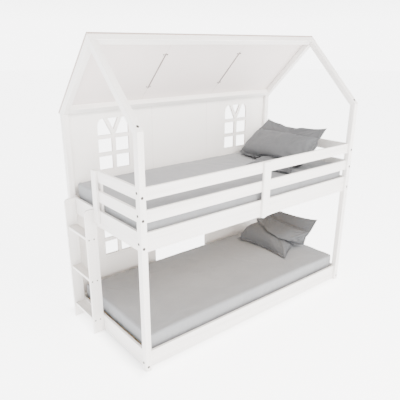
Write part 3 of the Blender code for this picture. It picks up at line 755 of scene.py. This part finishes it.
def cut_case(name, width, height, hem, seed):
    """Two layers of cloth that share the line of their seam, with one flat border beyond it.

    Also the numbers of the filled part's vertices, of the corners' and of the seam's, and for
    each vertex the one on the other layer.
    """
    columns, left, right = seam_places(width, FLANGE, FLANGE, CASE_CELL)
    rows, foot, head = seam_places(height, FLANGE, hem, CASE_CELL)
    shape = bmesh.new()
    front, back = {}, {}
    for row, y in enumerate(rows):
        for column, x in enumerate(columns):
            inside = left < column < right and foot < row < head
            wave = wander((x, y, 0), 0.07, seed) * 0.0015
            place = column, row
            front[place] = shape.verts.new((x, y, wave + 0.001 * inside))
            back[place] = shape.verts.new((x, y, wave - 0.001)) if inside else front[place]
    for row in range(len(rows) - 1):
        for column in range(len(columns) - 1):
            ring = [(column, row), (column + 1, row), (column + 1, row + 1), (column, row + 1)]
            filled = left <= column < right and foot <= row < head
            shape.faces.new([front[key] for key in ring]).material_index = 0 if filled else 1
            if filled:
                shape.faces.new([back[key] for key in reversed(ring)])
    shape.verts.index_update()
    filled = {
        front[column, row].index
        for column in range(left, right + 1) for row in range(foot, head + 1)
    }
    filled |= {
        back[column, row].index
        for column in range(left + 1, right) for row in range(foot + 1, head)
    }
    opposite = {front[place].index: back[place].index for place in front}
    opposite |= {back[place].index: front[place].index for place in front}
    ends = [(column, row) for column in (0, len(columns) - 1) for row in (0, len(rows) - 1)]
    seam = [(column, foot) for column in range(left, right)]
    seam += [(right, row) for row in range(foot, head)]
    seam += [(column, head) for column in range(right, left, -1)]
    seam += [(left, row) for row in range(head, foot, -1)]
    corners, seam = ([front[place].index for place in places] for places in (ends, seam))
    return finished_mesh(name, shape), sorted(filled), corners, seam, opposite


def fill_case(data, filled, corners, pressure):
    """The case blown up until its cloth is taut, by simulation."""
    made = bpy.data.objects.new(data.name, data)
    bpy.context.scene.collection.objects.link(made)
    made.vertex_groups.new(name="filled").add(filled, 1, "REPLACE")
    made.vertex_groups.new(name="held").add(corners, 1, "REPLACE")
    cloth = made.modifiers.new("filling", "CLOTH")
    settings = cloth.settings
    settings.quality = 6
    settings.mass = 0.3
    settings.tension_stiffness = 15
    settings.compression_stiffness = 15
    settings.shear_stiffness = 5
    settings.bending_stiffness = 0.25
    settings.air_damping = 1.2
    settings.effector_weights.gravity = 0
    settings.use_pressure = True
    settings.uniform_pressure_force = pressure
    settings.vertex_group_pressure = "filled"
    settings.vertex_group_mass = "held"
    cloth.point_cache.frame_end = SIM_FRAMES
    for number in range(1, SIM_FRAMES + 1):
        bpy.context.scene.frame_set(number)
    done = evaluated_mesh(made)
    bpy.context.scene.frame_set(1)
    bpy.data.objects.remove(made)
    return done


def evaluated_mesh(thing):
    graph = bpy.context.evaluated_depsgraph_get()
    return bpy.data.meshes.new_from_object(thing.evaluated_get(graph))


def resting_height(trees, spot, reach=0.012):
    """The greatest height of the pieces below a spot or close beside it."""
    heights = []
    for step_x in (-1, 0, 1):
        for step_y in (-1, 0, 1):
            shift = Vector((step_x * reach, step_y * reach, 2))
            hits = [tree.ray_cast(spot + shift, Vector((0, 0, -1)))[0] for tree in trees]
            heights += [hit.z for hit in hits if hit]
    return max(heights, default=0)


def crease_lines(width, height, hem, seed):
    """Folds from the corners and seams of a filled case: start, end, width and depth of each."""
    dice = Random(seed)
    left, right, foot, head = -width / 2, width / 2, -height / 2, height / 2 - hem
    lines = []
    for corner, turns in (
        ((left, foot), (20, 45, 68)),
        ((right, foot), (112, 136, 162)),
        ((left, head), (-66, -42, -18)),
        ((right, head), (-162, -138, -112)),
    ):
        for turn in turns:
            angle = radians(turn + dice.uniform(-9, 9))
            start = Vector((*corner, 0))
            reach = dice.uniform(0.12, 0.26)
            end = start + Vector((cos(angle), sin(angle), 0)) * reach
            lines.append((start, end, dice.uniform(0.012, 0.020), dice.uniform(0.011, 0.019)))
    for side, way in ((head, -1), (foot, 1)):
        for index in range(5):
            start = Vector((left + width * (index + dice.uniform(0.7, 1.3)) / 6, side, 0))
            end = start + Vector((dice.uniform(-0.04, 0.04), way * dice.uniform(0.04, 0.10), 0))
            lines.append((start, end, dice.uniform(0.010, 0.016), dice.uniform(0.006, 0.011)))
    return lines


def between_marks(value, marks, shares):
    """The share that belongs to a value, in straight steps between the marks."""
    for low, high, first, last in zip(marks, marks[1:], shares, shares[1:]):
        if value <= high:
            break
    return first + (last - first) * (value - low) / (high - low)


def upward(way):
    """A direction, turned round where it points down."""
    return -way if way.z < 0 else way


def pillow_ways(corners):
    """The ways up a pillow's face, level from its foot and out of its face, and its reach."""
    foot_back, foot_front, head_back, head_front = corners
    facing = (foot_front - foot_back).normalized()
    climb = head_back + head_front - foot_back - foot_front
    rising = climb.normalized()
    level = facing.cross(Vector((0, 0, 1))).normalized()
    return rising, level, upward(rising.cross(facing).normalized()), (climb / 2).length


def lay_case(data, opposite, plan, width, trees):
    """The filled case bent over its four corners and slumped on what is below it."""
    corners = [at(*corner) for corner in plan["corners"]]
    foot_back, foot_front, head_back, head_front = corners
    rising, level, outward, reach = pillow_ways(corners)
    hem, height, seed = plan["hem"], plan["height"], plan["seed"]
    low = -1 + 2 * FLANGE / reach
    high = 1 - 2 * hem / reach
    rows = [-height / 2, FLANGE - height / 2, height / 2 - hem, height / 2]
    folds = [crease_lines(width, height, hem, seed + side) for side in (0, 1)]
    shape = bmesh.new()
    shape.from_mesh(data)
    depths = [vert.co.z for vert in shape.verts]
    peak = max(depths[index] - depths[other] for index, other in opposite.items()) / 2
    for vert in shape.verts:
        x, y, z = vert.co
        other_z = depths[opposite[vert.index]]
        half = (z - other_z) / 2
        front = half > 0
        across, up = 2 * x / width, between_marks(y, rows, [-1, low, high, 1])
        foot = foot_back.lerp(foot_front, (1 + across) / 2)
        head = head_back.lerp(head_front, (1 + across) / 2)
        spot = foot.lerp(head, (1 + up) / 2)
        # Half way along, the head edge is drawn in, and the foot edge slides out and sags
        bowed = up * max(0, 1 - across**2)
        spot -= rising * plan["draw_in"] * bowed if up > 0 else level * plan["slump"] * bowed
        spot.z += plan["sag"] * min(0, bowed)
        inner = (2 * up - low - high) / (high - low)
        middle = (max(0, 1 - across**2) * max(0, 1 - inner**2)) ** 0.5
        full = abs(half / peak) ** PLUMPNESS * (1 - plan["tilt"] * across)
        crease = creased(Vector((x, y, 0)), folds[front]) * min(1, 3 * middle)
        bulge = plan["crowns"][0 if front else 1] * full + crease
        wave = (z + other_z) / 2 * plan["wave"]
        dent = wander((x, y, 0), 0.12, seed) * BROAD_DENT
        dent += wander((x / 2, y, 0), 0.05, seed + 4) * FINE_DENT
        spot += outward * ((1 if front else -1) * bulge + wave + dent * middle)
        layer = LAYER_GAP * (1 + 2 * middle) if front else 0
        spot.z = max(spot.z, resting_height(trees, spot) + REST_GAP + layer)
        vert.co = spot
    return shape


def border_solid(shape, thickness):
    """The border's single layer made into a thin hem of two."""
    border = [face for face in shape.faces if face.material_index == 1]
    edges = {edge for face in border for edge in face.edges}
    bmesh.ops.split(shape, geom=border + list(edges))
    border = [face for face in shape.faces if face.material_index == 1]
    shape.normal_update()
    for vert in {vert for face in border for vert in face.verts}:
        vert.co += vert.normal * thickness / 2
    bmesh.ops.solidify(shape, geom=border, thickness=thickness)
    for face in shape.faces:
        face.material_index = 0


def rounded_mesh(shape, name):
    """The form with its folds rounded and its border made solid; also a tree of its faces."""
    carrier = bpy.data.objects.new(name, finished_mesh(name, shape))
    bpy.context.scene.collection.objects.link(carrier)
    carrier.modifiers.new("rounding", "SUBSURF").levels = 1
    fine = evaluated_mesh(carrier)
    bpy.data.objects.remove(carrier)
    faces = bmesh.new()
    faces.from_mesh(fine)
    border_solid(faces, HEM_THICKNESS)
    bmesh.ops.recalc_face_normals(faces, faces=faces.faces)
    tree = BVHTree.FromBMesh(faces)
    faces.to_mesh(fine)
    faces.free()
    return fine, tree


def stitches(name, line, outward, tree):
    """A row of short threads on the hem, just outside the line of a seam."""
    middle = sum(line, Vector()) / len(line)
    thread = bmesh.new()
    walked = 0.0
    for start, end in zip(line, line[1:] + line[:1]):
        length = (end - start).length
        along = (end - start).normalized()
        aside = along.cross(outward).normalized()
        if aside.dot(start - middle) < 0:
            aside.negate()
        while walked < length:
            spot = start + along * walked + aside * STITCH_INSET
            hit, normal = tree.ray_cast(spot + outward * 0.02, -outward, 0.04)[:2]
            walked += STITCH_PITCH
            if hit is None:
                continue
            turn = Matrix((along, normal.cross(along).normalized(), normal)).transposed().to_4x4()
            place = Matrix.Translation(hit + normal * 0.0001)
            form = place @ turn @ Matrix.Diagonal((*STITCH_SIZE, 1))
            bmesh.ops.create_icosphere(thread, subdivisions=1, radius=1, matrix=form)
        walked -= length
    link_piece(name, finished_mesh(name, thread), (THREAD,), STITCH_SMOOTH)


# Corners: the foot's back and front ends, then the head's
FLAT = {"hem": FLANGE, "pressure": 60, "wave": 0.5, "draw_in": 0.0, "slump": 0.0, "sag": 0.0}
LEANING = {"hem": HEM, "tilt": 0.0, "wave": 1.0}
PILLOWS = {
    "lower_flat": FLAT | {
        "corners": (
            (1.610, 0.828, 0.2542), (1.630, 0.235, 0.2542),
            (1.960, 0.870, 0.2542), (1.940, 0.380, 0.2542),
        ),
        "height": 0.325, "crowns": (0.135, 0.035), "tilt": 0.43, "seed": 3.0,
    },
    "lower_leaning": LEANING | {
        "corners": (
            (1.845, 0.805, 0.410), (1.970, 0.305, 0.265),
            (2.030, 0.666, 0.489), (2.020, 0.216, 0.535),
        ),
        "height": 0.36, "pressure": 50, "crowns": (0.090, 0.100),
        "draw_in": 0.004, "slump": 0.20, "sag": 0.03, "seed": 7.0,
    },
    "upper_flat": FLAT | {
        "corners": (
            (1.256, 0.470, 1.0942), (1.4377, 0.0892, 1.0942),
            (1.8004, 0.715, 1.0942), (1.9777, 0.3511, 1.0942),
        ),
        "height": 0.6, "crowns": (0.045, 0.035), "tilt": 0.0, "seed": 11.0,
    },
    "upper_leaning": LEANING | {
        "corners": (
            (1.660, 0.890, 1.0942), (1.645, 0.135, 1.1247),
            (1.9903, 0.8502, 1.3742), (1.959, 0.1707, 1.3759),
        ),
        "height": 0.43, "pressure": 60, "crowns": (0.085, 0.130),
        "draw_in": 0.03, "slump": 0.14, "sag": 0.035, "seed": 17.0,
    },
}


def pillow(name, trees):
    """A stitched case with its filling, in the place of one of the part's pillows."""
    plan = PILLOWS[name]
    spots = [at(*corner) for corner in plan["corners"]]
    width = (spots[1] - spots[0]).length
    data, filled, corners, seam, opposite = cut_case(
        name + "_case", width, plan["height"], plan["hem"], plan["seed"]
    )
    data = fill_case(data, filled, corners, plan["pressure"])
    shape = lay_case(data, opposite, plan, width, trees)
    shape.verts.ensure_lookup_table()
    line = [shape.verts[index].co.copy() for index in seam]
    outward = upward((spots[2] - spots[0]).cross(spots[1] - spots[0]).normalized())
    finished, tree = rounded_mesh(shape, name + "_pillow_case")
    made = link_piece(name + "_pillow_case", finished, (PILLOW,), CASE_SMOOTH)
    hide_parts(name + "_pillow")
    stitches(name + "_pillow_stitches", line, outward, tree)
    return tree


def bedding():
    for bunk, seed in (("upper", 2.0), ("lower", 5.0)):
        bed = mattress(bunk, seed)
        flat = pillow(f"{bunk}_flat", [bed])
        pillow(f"{bunk}_leaning", [bed, flat])


bedding()


# Floor, light and camera
FLOOR_RADIUS = 40
FLOOR_GLOW = 4.4
HORIZON_LIGHT = 6.6
SKY_LIGHT = 1.5


def floor():
    """A pale disc that glows like a studio floor under lamps; below the bed its glow is cut out, as
    a painted shadow.
    """
    made, tree, shader = new_material(
        "studio_floor", (0.93, 0.93, 0.93), 0.7,
        Emission_Color=(1, 1, 1, 1), Emission_Strength=FLOOR_GLOW,
    )
    place = own_place(tree)
    parts = add_node(tree, "SeparateXYZ", Vector=place)
    beyond = [
        maths(tree, "SUBTRACT", maths(tree, "ABSOLUTE", parts.outputs[axis]), half)
        for axis, half in (("X", LENGTH / 2), ("Y", WIDTH / 2))
    ]
    # Painted shadow: the glow fades to nothing inside the bed's footprint
    glow_with_painted_shadow = remap(tree, maths(tree, "MAXIMUM", *beyond), -0.10, 0.05, 0, FLOOR_GLOW)
    tree.links.new(glow_with_painted_shadow, shader.inputs["Emission Strength"])
    cloud = cloudy(tree, place, scale=1.5, detail=3.0)
    tone = ramp(tree, cloud, [(0.3, (0.925, 0.925, 0.925)), (0.7, (0.935, 0.935, 0.935))])
    tree.links.new(tone, shader.inputs["Base Color"])
    bpy.ops.mesh.primitive_circle_add(
        vertices=96, radius=FLOOR_RADIUS, fill_type="NGON", location=(0, 0, 0)
    )
    ground = bpy.context.object
    ground.name = "studio_floor"
    ground.data.materials.append(made)


def sky():
    """White all round, brighter towards the horizon."""
    world = bpy.data.worlds.new("studio_world")
    world.use_nodes = True
    tree = world.node_tree
    backdrop = tree.nodes["Background"]
    backdrop.inputs["Color"].default_value = (1, 1, 1, 1)
    direction = add_node(tree, "TexCoord").outputs["Generated"]
    rise = add_node(tree, "SeparateXYZ", Vector=direction).outputs["Z"]
    strength = remap(tree, rise, 0.04, 0.34, HORIZON_LIGHT, SKY_LIGHT)
    tree.links.new(strength, backdrop.inputs["Strength"])
    bpy.context.scene.world = world


def area_light(name, place, target, size, power, colour):
    data = bpy.data.lights.new(name, "AREA")
    data.shape = "DISK"
    data.size = size
    data.energy = power
    data.color = colour
    made = bpy.data.objects.new(name, data)
    made.location = place
    made.rotation_euler = (Vector(target) - Vector(place)).to_track_quat("-Z", "Y").to_euler()
    bpy.context.scene.collection.objects.link(made)


def camera():
    """The camera that the photograph was solved for."""
    data = bpy.data.cameras.new("photo_camera")
    data.lens = 41.28
    data.sensor_width = 36
    data.shift_x = 0.0212
    data.shift_y = 0.0359
    made = bpy.data.objects.new("photo_camera", data)
    made.location = at(-1.3120, -2.1189, 2.0270)
    made.rotation_euler = Euler((pi / 2 - 0.3540, 0, -0.6733))
    bpy.context.scene.collection.objects.link(made)
    bpy.context.scene.camera = made


floor()
sky()
area_light("front_key", (0.2, -4.3, 4.8), (0, 0, 0.9), 2.6, 650, (1.0, 0.95, 0.90))
area_light("left_fill", (-4.5, -0.6, 2.6), (0, 0, 0.9), 3.0, 25, (0.84, 0.92, 1.0))
camera()
